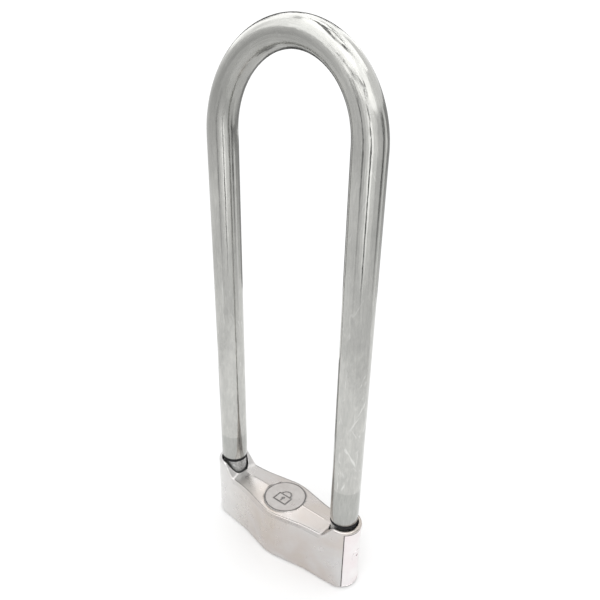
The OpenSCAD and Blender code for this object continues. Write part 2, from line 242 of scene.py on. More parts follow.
def plated_bar():
    """The shackle: plated steel, clouded and smudged, with duller bands above the shoulders, pale
    scratches low on the legs, a wrinkled bend with painted shade inside it on the left, and gritty
    feet."""
    n = Nodes("plated_bar")
    n.shader.inputs["Metallic"].default_value = 1.0
    x, _, z = n.axes()
    outward = n.split(n.attribute(BAR_WAY))[0]

    # where each look shows
    on_right = n.math("GREATER_THAN", x, 0.0)
    in_sleeve = n.remap(n.math("SUBTRACT", z, n.times(on_right, SLEEVE_RISE)), *SLEEVE_TOP, 1, 0)
    in_bend = n.remap(z, BEND_Z - 0.01, BEND_Z + 0.02, 0, 1)
    # painted shade: the inside of the bend is darkened, towards the left
    bend_shade_share = n.times(in_bend, n.remap(outward, 0.0005, 0.0045, 1, 0),
                         n.remap(x, 0.008, 0.035, 0.45, 0.0))
    scratched = n.times(n.scratches(x), n.remap(in_sleeve, 0, 1, 1, 0.15),
                        n.remap(z, *SCRATCHED_UP_TO, 0.8, 0.2))
    on_foot = n.remap(z, *SHOULDER_EDGE, 1, 0)

    cloud = n.noise(42, 6, 0.62, (1, 1, 0.4), 0.6, bar=True)
    smudge = n.remap(n.noise(240, 7, 0.7, (1, 1, 0.45), 0.3, bar=True), 0.34, 0.68, 0.0, 1.0)
    grain = n.noise(1300, 4, 0.7, (1, 1, 0.15), bar=True)
    clouded = n.ramp(cloud, (0.28, (0.37, 0.375, 0.355)), (0.50, (0.435, 0.435, 0.415)),
                     (0.72, (0.50, 0.495, 0.47)))
    pale = n.ramp(smudge, (0.0, (0.45, 0.45, 0.435)), (0.55, (0.53, 0.53, 0.51)),
                  (1.0, (0.64, 0.64, 0.61)))
    dull = n.ramp(smudge, (0.0, (0.35, 0.355, 0.34)), (1.0, (0.41, 0.415, 0.40)))
    streaked = n.ramp(grain, (0.36, (0.40, 0.405, 0.39)), (0.64, (0.58, 0.575, 0.55)))
    # painted shade: the dark colour laid inside the bend
    painted_bend_shade = n.ramp(cloud, (0.3, (0.19, 0.19, 0.18)), (0.7, (0.23, 0.23, 0.22)))
    scored = n.ramp(smudge, (0.0, (0.62, 0.62, 0.60)), (1.0, (0.74, 0.74, 0.72)))
    gritty = n.ramp(n.noise(800, 5, 0.7), (0.35, (0.27, 0.275, 0.275)),
                    (0.65, (0.64, 0.645, 0.64)))
    n.link(n.layers(clouded, (n.remap(z, 0.09, 0.2, 0.85, 0.4), pale), (in_sleeve, dull),
                    (n.remap(z, 0.06, 0.25, 0.4, 0.25), streaked), (bend_shade_share, painted_bend_shade),
                    (scratched, scored), (on_foot, gritty)), n.shader.inputs["Base Color"])

    smeared = n.remap(n.noise(130, 6, 0.7, (1, 1, 0.2), 1.2, bar=True), 0.38, 0.68, 0.07, 0.24)
    worked = n.remap(n.noise(300, 7, 0.75, (1.2, 1.2, 0.12), 1.0, bar=True),
                     0.40, 0.64, 0.05, 0.36)
    bar_rough = n.blend_value(in_bend, smeared, worked)
    n.link(n.blend_value(on_foot, bar_rough, 0.42), n.shader.inputs["Roughness"])

    dents = n.noise(85, 4, 0.6, (1, 1, 0.3), 0.4, bar=True)
    wrinkles = n.times(n.noise(210, 4, 0.65, (1, 1, 0.1), 0.8, bar=True), in_bend)
    drawn_lines = n.noise(1100, 3, 0.6, (1, 1, 0.025), bar=True)
    pits = n.times(n.noise(1100, 3, 0.6), on_foot)
    n.link(n.bumps((dents, 0.5, 0.0003), (wrinkles, 0.6, 0.0003), (drawn_lines, 0.25, 0.00002),
                   (n.times(scratched, -1.0), 0.3, 0.00002), (pits, 0.8, 0.00012)),
           n.shader.inputs["Normal"])
    return n.material


# in metres: the medallion's edge, the height above which its face lies, how far from the middle
# the bevel's painted shade ends, and where its two lines are, outside the outline and above the
# roof
DISC_EDGE, DISC_FLOOR = (0.01335, 0.0135), (0.0328, 0.033)
SHADE_LINE_END = (0.0345, 0.0355)
UPPER_SHADE_LINE, LOWER_SHADE_LINE, SHADE_LINE_SOFT = (-0.00185, -0.00145), (-0.0017, -0.0014), 0.00012


def satin_casting():
    """The crossbar: satin cast metal, lighter and cooler to the left by painted light, with
    polished ends inside a dark line, dirt and painted shade in the engraving, painted shade beside
    the bevel."""
    n = Nodes("satin_casting")
    n.shader.inputs["Metallic"].default_value = 1.0
    x, y, z = n.axes()
    end_x = n.math("ABSOLUTE", x)
    across = n.math("SQRT", n.math("ADD", n.times(x, x), n.times(y, y)))
    outside, above, _ = n.split(n.attribute(EDGE_WAY))
    cloud = n.noise(26, 5, 0.55, (1, 1, 1), 0.6)

    # where each look shows
    # painted light: the left of the casting is made lighter and cooler
    to_left = n.remap(n.math("ADD", x, n.times(cloud, 0.03)), -0.035, 0.002, 1, 0)
    polished = n.times(n.remap(end_x, BAND_X * MM - 0.00008, BAND_X * MM + 0.00004, 0, 1),
                       n.between(z, BAND_LOW * MM, BAND_HIGH * MM, 0.0002))
    upright = n.times(n.between(end_x, (BAND_X - 0.28) * MM, (BAND_X + 0.05) * MM, 0.0001),
                      n.between(z, BAND_LOW * MM, BAND_HIGH * MM, 0.0003))
    level = n.times(n.between(z, (BAND_HIGH - 0.1) * MM, (BAND_HIGH + 0.3) * MM, 0.0001),
                    n.remap(end_x, (BAND_X - 0.3) * MM, BAND_X * MM, 0, 1))
    disc = n.times(n.remap(across, *DISC_EDGE, 1, 0), n.remap(z, *DISC_FLOOR, 0, 1))
    # dirt and painted shade: the engraving is darker where it is deep
    engraved = n.times(n.remap(z, (MEDAL_Z - 0.45) * MM, (MEDAL_Z - 0.14) * MM, 1, 0), disc)
    # painted shade: two thin dark lines at the bevel, one on the roof inside it and one on the side
    # below it
    upper = n.times(n.between(outside, *UPPER_SHADE_LINE, SHADE_LINE_SOFT),
                    n.between(above, -0.0003, 0.0003, 0.0001))
    lower = n.times(n.between(above, *LOWER_SHADE_LINE, SHADE_LINE_SOFT), 0.55,
                    n.remap(outside, -0.0003, -0.0001, 0, 1))
    painted_edge_shade = n.times(n.math("MAXIMUM", upper, lower), n.remap(end_x, *SHADE_LINE_END, 0.75, 0),
                    n.remap(n.noise(300, 4, 0.6), 0.35, 0.5, 0.3, 1.0))

    patches = n.noise(60, 5, 0.6)
    warm = n.ramp(cloud, (0.32, (0.55, 0.50, 0.45)), (0.48, (0.575, 0.535, 0.51)),
                  (0.66, (0.61, 0.60, 0.595)))
    # painted light: the lighter, cooler colour laid on the left
    cool_painted_light = n.ramp(patches, (0.32, (0.64, 0.64, 0.635)), (0.68, (0.76, 0.755, 0.745)))
    bright = n.ramp(patches, (0.3, (0.80, 0.72, 0.73)), (0.7, (0.86, 0.84, 0.84)))
    shadow = n.ramp(n.noise(700, 4, 0.6), (0.3, (0.07, 0.07, 0.07)), (0.7, (0.22, 0.21, 0.205)))
    worn = n.ramp(n.noise(220, 6, 0.65), (0.35, (0.45, 0.425, 0.41)),
                  (0.65, (0.515, 0.495, 0.48)))
    # dark colour for dirt and painted shade in the engraving, and for the painted shade at the
    # bevel
    dirt_and_painted_shade = n.ramp(n.noise(900, 4, 0.6), (0.3, (0.13, 0.13, 0.13)), (0.7, (0.32, 0.31, 0.30)))
    n.link(n.layers(warm, (to_left, cool_painted_light), (polished, bright),
                    (n.math("MAXIMUM", upright, level), shadow), (disc, worn), (engraved, dirt_and_painted_shade),
                    (painted_edge_shade, dirt_and_painted_shade)), n.shader.inputs["Base Color"])

    satin = n.remap(n.noise(120, 4, 0.55, (1, 1, 1), 0.5), 0.32, 0.7, 0.25, 0.36)
    n.link(n.blend_value(polished, satin, 0.1), n.shader.inputs["Roughness"])
    n.link(n.bumps((n.noise(30, 3, 0.5, (1, 1, 1), 0.3), 0.3, 0.0005),
                   (n.noise(700, 3, 0.5), 0.08, 0.00001)), n.shader.inputs["Normal"])
    return n.material


def plain_finish(name, colour, dark, rough, metallic=1.0, specular=0.5):
    """A finish that is mottled between two colours and two roughnesses, with a fine grain."""
    n = Nodes(name)
    n.shader.inputs["Metallic"].default_value = metallic
    n.shader.inputs["Specular IOR Level"].default_value = specular
    n.link(n.ramp(n.noise(400, 5, 0.6), (0.3, dark), (0.7, colour)),
           n.shader.inputs["Base Color"])
    n.link(n.remap(n.noise(900, 4, 0.6), 0.3, 0.7, *rough), n.shader.inputs["Roughness"])
    n.link(n.bumps((n.noise(1500, 3, 0.6), 0.12, 0.00001)), n.shader.inputs["Normal"])
    return n.material


MATERIALS = {
    "plated_bar": plated_bar(),
    "satin_casting": satin_casting(),
}
for name, *finish in (
    ("black_rubber", (0.022, 0.022, 0.024), (0.012, 0.012, 0.013), (0.55, 0.8), 0.0, 0.15),
    ("black_nylon", (0.035, 0.035, 0.038), (0.02, 0.02, 0.022), (0.4, 0.6), 0.0),
    ("brass", (0.72, 0.52, 0.24), (0.5, 0.34, 0.14), (0.22, 0.4)),
    ("hardened_steel", (0.5, 0.5, 0.52), (0.36, 0.36, 0.38), (0.24, 0.42)),
    ("spring_wire", (0.62, 0.62, 0.64), (0.48, 0.48, 0.5), (0.18, 0.3)),
):
    MATERIALS[name] = plain_finish(name, *finish)

# a CAD node comes with a material named after its slot in the record
slots = {name: obj.data.materials[0].name.split(".")[0] for name, obj in nodes.items()}
for name, obj in nodes.items():
    obj.data.materials.clear()
    obj.data.materials.append(MATERIALS[slots[name]])

# ------------------------------------------------------------ meshes
SHARP_ANGLE = 35  # degrees between faces, above which their edge is shaded sharp


def new_piece(name, points, faces, material, body):
    """An object from points in millimetres. It rides on a body and takes a slot's finish."""
    mesh = bpy.data.meshes.new(name)
    mesh.from_pydata((np.asarray(points) * MM).tolist(), [],
                     [tuple(int(i) for i in face) for face in faces])
    mesh.validate()
    mesh.shade_smooth()
    mesh.set_sharp_from_angle(angle=math.radians(SHARP_ANGLE))
    mesh.materials.append(material)
    obj = bpy.data.objects.new(name, mesh)
    scene.collection.objects.link(obj)
    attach(obj, body)
    return obj


def give_way(piece, name, vectors):
    """Stores a vector in millimetres for each point of a piece, as an attribute in metres."""
    attribute = piece.data.attributes.new(name, "FLOAT_VECTOR", "POINT")
    attribute.data.foreach_set("vector", (vectors * MM).ravel())


def tube_faces(rings, sides):
    """The faces of a closed tube, whose points are rings of as many points as it has sides."""
    faces = []
    for i in range(rings - 1):
        here, there = i * sides, (i + 1) * sides
        for k in range(sides):
            after = (k + 1) % sides
            faces.append((here + k, here + after, there + after, there + k))
    last = (rings - 1) * sides
    faces.append(tuple(range(sides - 1, -1, -1)))
    faces.append(tuple(last + k for k in range(sides)))
    return faces


# ------------------------------------------------------------ surfaces of distance functions
SEARCHES = 6  # times that a crossing is narrowed down
SEARCH_SPAN = (0.02, 0.98)  # the shares of an edge between which a search looks
SLOPE_REACH = 0.004  # how far to each side the slope is measured, in millimetres
PULL = 0.03  # how strongly a point is drawn to the middle of its crossings
ROOM = 0.2  # the share of its cell by which a point may lie beyond its crossings
TINY = 1e-12


def spaced(*runs):
    """Grid lines through runs of (start, step), up to the next run's start."""
    lines = []
    for (start, step), (end, _) in zip(runs, runs[1:]):
        count = max(1, round((end - start) / step))
        lines += [start + (end - start) * i / count for i in range(count)]
    return np.array(lines + [runs[-1][0]])


def crossings(field, lines, value, axis):
    """Where the surface crosses the grid's edges along an axis: the edges' starts, the places on
    them and the slopes there."""
    low = tuple(slice(0, -1) if k == axis else slice(1, -1) for k in range(3))
    high = tuple(slice(1, None) if k == axis else slice(1, -1) for k in range(3))
    start = np.argwhere((value[low] < 0) != (value[high] < 0))
    start = start + np.array([0 if k == axis else 1 for k in range(3)])
    end = start.copy()
    end[:, axis] += 1
    a = np.stack([lines[k][start[:, k]] for k in range(3)], 1)
    b = np.stack([lines[k][end[:, k]] for k in range(3)], 1)
    fa, fb = value[tuple(start.T)], value[tuple(end.T)]
    for _ in range(SEARCHES):
        t = np.clip(fa / (fa - fb), *SEARCH_SPAN)[:, None]
        p = a + t * (b - a)
        fp = field(*p.T)
        low_side = (fp < 0) == (fa < 0)
        a, fa = np.where(low_side[:, None], p, a), np.where(low_side, fp, fa)
        b, fb = np.where(low_side[:, None], b, p), np.where(low_side, fb, fp)
    place = a + (fa / (fa - fb))[:, None] * (b - a)
    slope = np.stack([field(*(place + step).T) - field(*(place - step).T)
                      for step in np.eye(3) * SLOPE_REACH], 1)
    slope /= np.linalg.norm(slope, axis=1, keepdims=True) + TINY
    return start, place, slope


def cells_around(start, axis, shape):
    """The numbers of the four cells around each edge along an axis."""
    u, v = (axis + 1) % 3, (axis + 2) % 3
    corners = []
    for du, dv in ((0, 0), (1, 0), (1, 1), (0, 1)):
        cell = start.copy()
        cell[:, u] -= du
        cell[:, v] -= dv
        corners.append(np.ravel_multi_index(tuple(cell.T), shape))
    return np.stack(corners, 1)


def contour(field, *lines):
    """Dual contouring: the surface where field(x, y, z) is 0, with one point per crossed cell and
    one quad per crossed grid edge. Edges stay sharp, because each point is fitted to the
    surface's slopes around it."""
    xs, ys, zs = lines
    value = field(xs[:, None, None], ys[None, :, None], zs[None, None, :])
    shape = tuple(len(line) - 1 for line in lines)
    quads, ids, hits, slopes = [], [], [], []
    for axis in range(3):
        start, place, slope = crossings(field, lines, value, axis)
        corners = cells_around(start, axis, shape)
        starts_inside = value[tuple(start.T)] < 0
        quads.append(np.where(starts_inside[:, None], corners, corners[:, ::-1]))
        ids.append(corners.ravel())
        hits.append(np.repeat(place, 4, 0))
        slopes.append(np.repeat(slope, 4, 0))
    ids, hits, slopes = np.concatenate(ids), np.concatenate(hits), np.concatenate(slopes)
    cells, row = np.unique(ids, return_inverse=True)

    # each point starts in the middle of its crossings, and moves to fit the slopes
    n = len(cells)
    count = np.bincount(row, minlength=n)
    middle = np.stack([np.bincount(row, hits[:, k], n) for k in range(3)], 1) / count[:, None]
    along = (slopes * (hits - middle[row])).sum(1)
    square = np.zeros((n, 3, 3))
    for i in range(3):
        for j in range(3):
            square[:, i, j] = np.bincount(row, slopes[:, i] * slopes[:, j], n)
    side = np.stack([np.bincount(row, slopes[:, k] * along, n) for k in range(3)], 1)
    pull = PULL * count[:, None, None] * np.eye(3)
    move = np.linalg.solve(square + pull, side[:, :, None])[:, :, 0]

    # it stays in its cell, and close to its crossings
    where = np.unravel_index(cells, shape)
    low = np.stack([lines[k][where[k]] for k in range(3)], 1)
    high = np.stack([lines[k][where[k] + 1] for k in range(3)], 1)
    nearest, farthest = high.copy(), low.copy()
    np.minimum.at(nearest, row, hits)
    np.maximum.at(farthest, row, hits)
    room = ROOM * (high - low)
    points = np.clip(middle + move, np.maximum(low, nearest - room),
                     np.minimum(high, farthest + room))
    return points, np.searchsorted(cells, np.concatenate(quads))


def soft_max(a, b, k):
    """The larger of a and b, with the corner between them rounded over about 0.6 k."""
    h = np.maximum(k - np.abs(a - b), 0) / k
    return np.maximum(a, b) + h * h * k / 4


def soft_min(a, b, k):
    return -soft_max(-a, -b, k)


def step_down(value, start, end):
    """1 before start, 0 after end and smooth between."""
    t = np.clip((value - start) / (end - start), 0, 1)
    return 1 - t * t * (3 - 2 * t)


# ------------------------------------------------------------ the crossbar, in millimetres
LEG = HALF / MM
END = END_R / MM
NOSE_R = 30.0  # the rounded middle of the front and of the back
NOSE_Y = body_high.y / MM - NOSE_R
FLARE = np.array([24.0, 12.1])  # where the two straight parts of a side meet
FLARE_ROUND = 0.5
# the roof: its ridge, its fall per millimetre, and a factor that makes heights true distances
RIDGE_Z, RIDGE_ROUND = 34.5, 0.3
ROOF_FALL, ROOF_TRUE = 0.1266, 0.99
SEAM_HEIGHT, SEAM_HALF = 0.24, 0.3
SEAM_X, SEAM_END = 2.2, (28, 29.5)
BEVEL, BEVEL_ROUND, BEVEL_LEAN = 1.2, 0.3, 0.7071  # at 45 degrees
# the collars: their top, and the ramp that rises to it
COLLAR_Z, COLLAR_ROUND, LIP_ROUND = body_high.z / MM, 1.2, 1.7
RAMP_X, RAMP_Z, RAMP_RUN = 36.0, 33.3, 7.2
RAMP_SLOPE = (COLLAR_Z - RAMP_Z) / RAMP_RUN
FILLET, FILLET_FADE = 1.2, (-1.2, -0.1)
BASE_ROUND = 1.8
# the engraved ring, and how far its sides and the medallion's slope in and out
LINE_R, LINE_HALF, LINE_DEPTH = 12.6, 0.42, 0.45
LINE_IN, LINE_OUT, MEDAL_IN, MEDAL_OUT = 0.2, 0.08, 0.15, 0.2
# the plain padlock sign
BOW_R, BOW_Y, BOW_FADE = 3.2, 1, 9
LOCK_HALF, LOCK_Y = (4.6, 3.1), -2.5
KEYHOLE_R, KEYHOLE_Y, SLIT_Y, SLIT_HALF = 0.6, -1.8, -3, 1.2
STROKE = (0.3, 0.6)
# what is drilled out
SOCKET_R, SOCKET_FLOOR, SOCKET_ROUND = 8.3, 11.5, 0.6
BORE_R, BORE_TOP, BORE_CHAMFER = 12.5, 26.8, 0.4
CHANNEL_R, CHANNEL_Z, CHANNEL_OVERLAP = 3.65, 22.8, 2
CROSS_X, CROSS_Z, CROSS_R, CROSS_FRONT = 8.7, 9.2, 1.2, -8.7
GRID_SHIFT = 0.003  # keeps the grid's lines off the flat faces


def tangent(point, centre, radius, turn):
    """Where a line from point touches a circle, on the side given by turn."""
    d = math.dist(point, centre)
    aim = math.atan2(centre[1] - point[1], centre[0] - point[0]) + turn * math.asin(radius / d)
    reach = math.sqrt(d * d - radius * radius)
    return np.array([point[0] + reach * math.cos(aim), point[1] + reach * math.sin(aim)])


NOSE_TOUCH = tangent(FLARE, (0, NOSE_Y), NOSE_R, -1)
END_TOUCH = tangent(FLARE, (LEG, 0), END, 1)


def from_line(x, y, a, b):
    """Signed distance from the line a to b, positive on its +Y side."""
    along = (b - a) / np.linalg.norm(b - a)
    return (y - a[1]) * along[0] - (x - a[0]) * along[1]


def plan(x, y):
    """Signed distance from the casting's outline seen from above, negative inside."""
    x, y = np.abs(x), np.abs(y)
    flank = soft_min(from_line(x, y, NOSE_TOUCH, FLARE), from_line(x, y, FLARE, END_TOUCH),
                     FLARE_ROUND)
    nose = np.hypot(x, y - NOSE_Y)
    end = np.hypot(x - LEG, y)
    at_nose = x * NOSE_R < NOSE_TOUCH[0] * nose
    at_end = (x - LEG) * END > (END_TOUCH[0] - LEG) * end
    return np.where(at_end & (x > FLARE[0]), end - END,
                    np.where(at_nose, nose - NOSE_R, flank))


def sign_distance(x, y):
    """Distance from the strokes of a plain padlock sign: its bow, its case and its keyhole."""
    bow = np.where(y > BOW_Y, np.abs(np.hypot(x, y - BOW_Y) - BOW_R),
                   np.abs(np.abs(x) - BOW_R) + np.maximum(BOW_Y - y, 0) * BOW_FADE)
    case_x, case_y = np.abs(x) - LOCK_HALF[0], np.abs(y - LOCK_Y) - LOCK_HALF[1]
    case = np.abs(np.where((case_x > 0) & (case_y > 0), np.hypot(case_x, case_y),
                           np.maximum(case_x, case_y)))
    keyhole = np.minimum(np.hypot(x, y - KEYHOLE_Y) - KEYHOLE_R,
                         np.maximum(np.abs(x), np.abs(y - SLIT_Y) - SLIT_HALF))
    return np.minimum(np.minimum(bow, case), np.maximum(keyhole, 0))


def roof(x, y):
    """Height of the top without the collars: pitched sides, a fine cast seam on the ridge, and
    the engraved medallion."""
    r = np.hypot(x, y)
    pitched = RIDGE_Z - ROOF_FALL * np.sqrt(y * y + RIDGE_ROUND ** 2)
    seam = (SEAM_HEIGHT * np.exp(-(y / SEAM_HALF) ** 2)
            * step_down(np.abs(x - SEAM_X), *SEAM_END))
    ring = step_down(np.abs(r - LINE_R), LINE_HALF - LINE_IN, LINE_HALF + LINE_OUT)
    engraved = LINE_DEPTH * np.maximum(ring, step_down(sign_distance(x, y), *STROKE))
    disc = step_down(r, MEDAL_R - MEDAL_IN, MEDAL_R + MEDAL_OUT)
    return (pitched + seam) * (1 - disc) + (MEDAL_Z - engraved) * disc


def casting(x, y, z):
    """Signed distance from the casting, negative inside."""
    side = plan(x, y)
    top = (z - roof(x, y)) * ROOF_TRUE
    ramp = (z - RAMP_Z - RAMP_SLOPE * (np.abs(x) - RAMP_X)) / math.hypot(1, RAMP_SLOPE)
    collar = soft_max(z - COLLAR_Z, ramp, COLLAR_ROUND)
    bevel = (side + top + BEVEL) * BEVEL_LEAN
    edge = soft_max(soft_max(side, top, BEVEL_ROUND), bevel, BEVEL_ROUND)
    lip = soft_max(side, collar, LIP_ROUND)
    # the collars meet the roof in a fillet, but leave the outline as it is
    near = np.maximum(FILLET - np.abs(edge - lip), 0) / FILLET
    fillet = near * near * FILLET / 4 * step_down(side, *FILLET_FADE)
    body = soft_max(np.minimum(edge, lip) - fillet, -z, BASE_ROUND)
    # the polished ends lie a little lower
    band = np.minimum(np.minimum(BAND_HIGH - z, z - BAND_LOW), np.abs(x) - BAND_X)
    body = np.maximum(body, np.minimum(side + BAND_STEP, band))
    leg = np.hypot(np.abs(x) - LEG, y)
    body = soft_max(body, -np.maximum(leg - SOCKET_R, SOCKET_FLOOR - z), SOCKET_ROUND)
    bore = np.maximum(np.hypot(x, y) - BORE_R - np.maximum(BORE_CHAMFER - z, 0), z - BORE_TOP)
    channel = np.maximum(np.hypot(y, z - CHANNEL_Z) - CHANNEL_R,
                         BORE_R - CHANNEL_OVERLAP - np.abs(x))
    cross = np.maximum(np.hypot(x - CROSS_X, z - CROSS_Z) - CROSS_R, CROSS_FRONT - y)
    return np.maximum(body, -np.minimum(np.minimum(bore, channel), cross))


def mirrored(half):
    """Grid lines on both sides of 0, from those on the positive side."""
    return np.concatenate([-half[:0:-1], half]) + GRID_SHIFT


def build_casting():
    """The casting's surface, on a grid that is fine at the medallion, the edges and the ends."""
    xs = spaced((0, 0.33), (13.86, 1.1), (35, 0.47), (55.2, 0))
    ys = spaced((0, 0.2), (0.8, 0.34), (14.6, 0.5), (17.6, 0))
    zs = spaced((-0.8, 0.35), (1.7, 1.3), (18.6, 0.6), (27.2, 0.8), (31.4, 0.3), (35, 0.45),
                (43.4, 0))
    return contour(casting, mirrored(xs), mirrored(ys), zs)


# ------------------------------------------------------------ the shackle, in millimetres
SIDES = 96
LEG_STEPS, BEND_STEPS = 28, 72
FLATTENED = 0.132
FOOT_R, FOOT_MIDDLE, GROOVE_R = 7.2, 35.0, 4.2
TIP_Z, TIP_CHAMFER, SHOULDER_Z = 12.0, 1.5, 44.5
GROOVE, GROOVE_EDGE, GROOVE_FILLET = (18.6, 27.0), 0.3, 0.4
# the rounded shoulder: heights above SHOULDER_Z, and how much less than the bar its radius is
SHOULDER = ((0, 0.9), (0.12, 0.62), (0.75, 0.1), (1.0, 0))
LEG_START = 8  # above the shoulder, where the evenly spaced stations start


def build_shackle():
    """Points, faces and the straightened bar's points. There is one ring of points per station
    along the bar, which the bend has flattened a little on its plane."""
    bar, bend_z = BAR_R / MM, BEND_Z / MM
    low, high = GROOVE
    leg = [(TIP_Z, FOOT_R - TIP_CHAMFER), (TIP_Z + TIP_CHAMFER, FOOT_R),
           (low - GROOVE_EDGE, FOOT_R), (low, FOOT_R - GROOVE_EDGE),
           (low, GROOVE_R + GROOVE_FILLET), (low + GROOVE_FILLET, GROOVE_R),
           (high - GROOVE_FILLET, GROOVE_R), (high, GROOVE_R + GROOVE_FILLET),
           (high, FOOT_R - GROOVE_EDGE), (high + GROOVE_EDGE, FOOT_R),
           (FOOT_MIDDLE, FOOT_R), (SHOULDER_Z - 0.4, FOOT_R), (SHOULDER_Z, FOOT_R + 0.1)]
    leg += [(SHOULDER_Z + rise, bar - less) for rise, less in SHOULDER]
    leg += [(z, bar) for z in np.linspace(SHOULDER_Z + LEG_START, bend_z, LEG_STEPS)]

    # a station is its centre, the direction outwards from the bend, and the two radii
    stations = [((-LEG, 0, z), (-1, 0, 0), r, r) for z, r in leg]
    for i in range(1, BEND_STEPS):
        a = math.pi - math.pi * i / BEND_STEPS
        out = (math.cos(a), 0, math.sin(a))
        flat = bar * (1 - FLATTENED * math.sin(math.pi / 2 * math.sin(a)))
        stations.append(((LEG * out[0], 0, bend_z + LEG * out[2]), out, flat, bar))
    stations += [((LEG, 0, z), (1, 0, 0), r, r) for z, r in reversed(leg)]

    points, way = [], []
    run, before = 0.0, stations[0][0]
    for centre, out, radial, across in stations:
        run += math.dist(centre, before)
        before = centre
        for k in range(SIDES):
            t = 2 * math.pi * k / SIDES
            way.append([radial * math.cos(t), across * math.sin(t), run])
            points.append([centre[0] + radial * math.cos(t) * out[0], across * math.sin(t),
                           centre[2] + radial * math.cos(t) * out[2]])
    return points, tube_faces(len(stations), SIDES), np.array(way)


# ------------------------------------------------------------ tumbler springs, in millimetres
WIRE_R, WIRE_SIDES = 0.09, 10
COILS, COIL_STEPS = 4.5, 24
CLOSED, CLOSED_LEAD = 0.75, 0.2  # turns that lie close at each end, and their lead per turn


def build_spring(low, high):
    """A coil along Y that fills the box from low to high, with its end coils closed."""
    coil_r = (high.x - low.x) / 2 / MM - WIRE_R
    centre_x, centre_z = (low.x + high.x) / 2 / MM, (low.z + high.z) / 2 / MM
    first, last = low.y / MM + WIRE_R, high.y / MM - WIRE_R
    closed = CLOSED * CLOSED_LEAD
    points = []
    rings = round(COILS * COIL_STEPS) + 1
    for i in range(rings):
        turns = i / COIL_STEPS
        y = np.interp(turns, (0, CLOSED, COILS - CLOSED, COILS),
                      (first, first + closed, last - closed, last))
        a = 2 * math.pi * turns
        for k in range(WIRE_SIDES):
            w = 2 * math.pi * k / WIRE_SIDES
            r = coil_r + WIRE_R * math.cos(w)
            points.append([centre_x + r * math.cos(a), y + WIRE_R * math.sin(w),
                           centre_z + r * math.sin(a)])
    return points, tube_faces(rings, WIRE_SIDES)


# ------------------------------------------------------------ pieces
points, faces = build_casting()
casting_piece = new_piece("crossbar_casting", points, faces, MATERIALS["satin_casting"],
                          "crossbar")
x, y, z = points.T
give_way(casting_piece, EDGE_WAY, np.stack([plan(x, y), z - roof(x, y), 0 * z], 1))
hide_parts("crossbar_body")

points, faces, way = build_shackle()
shackle_piece = new_piece("shackle_bar", points, faces, MATERIALS["plated_bar"],
                          "shackle")
give_way(shackle_piece, BAR_WAY, way)
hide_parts("shackle")

# each driver pin pushes its spring together against the caps
for joint in frame["joints"]:
    if not joint["name"].startswith("driver_pin"):
        continue
    number = joint["name"].split("_")[2]
    node = "pin_spring_" + number
    low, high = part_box(node)
    points, faces = build_spring(low, high)
    coil = new_piece("tumbler_spring_" + number, points, faces, MATERIALS["spring_wire"],
                     "crossbar")
    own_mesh(coil)
    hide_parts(node)

# ------------------------------------------------------------ camera
# fitted to the photograph; the distances are in spans, from leg to leg
SPAN = 2 * HALF
SENSOR, LENS, SHIFT_Y = 36.0, 32.77, 0.0556
CAMERA_TURN = math.radians(39.4206)
CAMERA_RISE = math.radians(25.3434)
CAMERA_ROLL = math.radians(1.2268)
CAMERA_FAR = 3.2267 * SPAN
TARGET = Vector((0.1023 * SPAN, 0, BEND_Z - 1.071 * SPAN))

toward = Vector((math.sin(CAMERA_TURN) * math.cos(CAMERA_RISE),
                 -math.cos(CAMERA_TURN) * math.cos(CAMERA_RISE), math.sin(CAMERA_RISE)))
right = Vector((0, 0, 1)).cross(toward).normalized()
up = toward.cross(right)
c, s = math.cos(CAMERA_ROLL), math.sin(CAMERA_ROLL)
right, up = c * right + s * up, c * up - s * right
turn = Matrix((right, up, toward)).transposed().to_4x4()
camera = bpy.data.objects.new("camera", bpy.data.cameras.new("camera"))
camera.data.sensor_width = SENSOR
camera.data.lens = LENS
camera.data.shift_y = SHIFT_Y
camera.data.clip_start = 0.01
camera.data.clip_end = 20
camera.matrix_world = Matrix.Translation(TARGET + CAMERA_FAR * toward) @ turn
scene.collection.objects.link(camera)
scene.camera = camera

# ------------------------------------------------------------ floor
FLOOR_HALF = 3.0
FLOOR_DROP = 0.0002  # keeps the floor clear of the flat underside
floor_mesh = bpy.data.meshes.new("floor")
floor_mesh.from_pydata([(u * FLOOR_HALF, v * FLOOR_HALF, 0)
                        for u, v in ((-1, -1), (1, -1), (1, 1), (-1, 1))], [], [(0, 1, 2, 3)])
floor = bpy.data.objects.new("floor", floor_mesh)
floor.location.z = -FLOOR_DROP
scene.collection.objects.link(floor)
floor_look = Nodes("floor")
floor_look.shader.inputs["Base Color"].default_value = (0.94, 0.94, 0.94, 1)
floor_look.shader.inputs["Roughness"].default_value = 0.6
floor_look.shader.inputs["Specular IOR Level"].default_value = 0
floor.data.materials.append(floor_look.material)

# ------------------------------------------------------------ light
world = bpy.data.worlds.new("world")
scene.world = world
world.use_nodes = True
world.node_tree.nodes["Background"].inputs["Color"].default_value = (1, 1, 1, 1)
world.node_tree.nodes["Background"].inputs["Strength"].default_value = 1.1
scene.view_settings.view_transform = "Standard"

FAR_FLOOR = 0.9  # brightness of the far floor, where the cards around start
TALL = 0.42  # height of the upright cards near the camera's side
CARD_STEPS, FAN_STEPS = 25, 13


def softbox(name, place, aim, size, radiance):
    data = bpy.data.lights.new(name, "AREA")
    data.shape = "RECTANGLE"
    data.size, data.size_y = size
    data.energy = radiance * math.pi * size[0] * size[1]
    obj = bpy.data.objects.new(name, data)
    obj.location = place
    obj.rotation_euler = (Vector(aim) - Vector(place)).to_track_quat("-Z", "Y").to_euler()
    scene.collection.objects.link(obj)


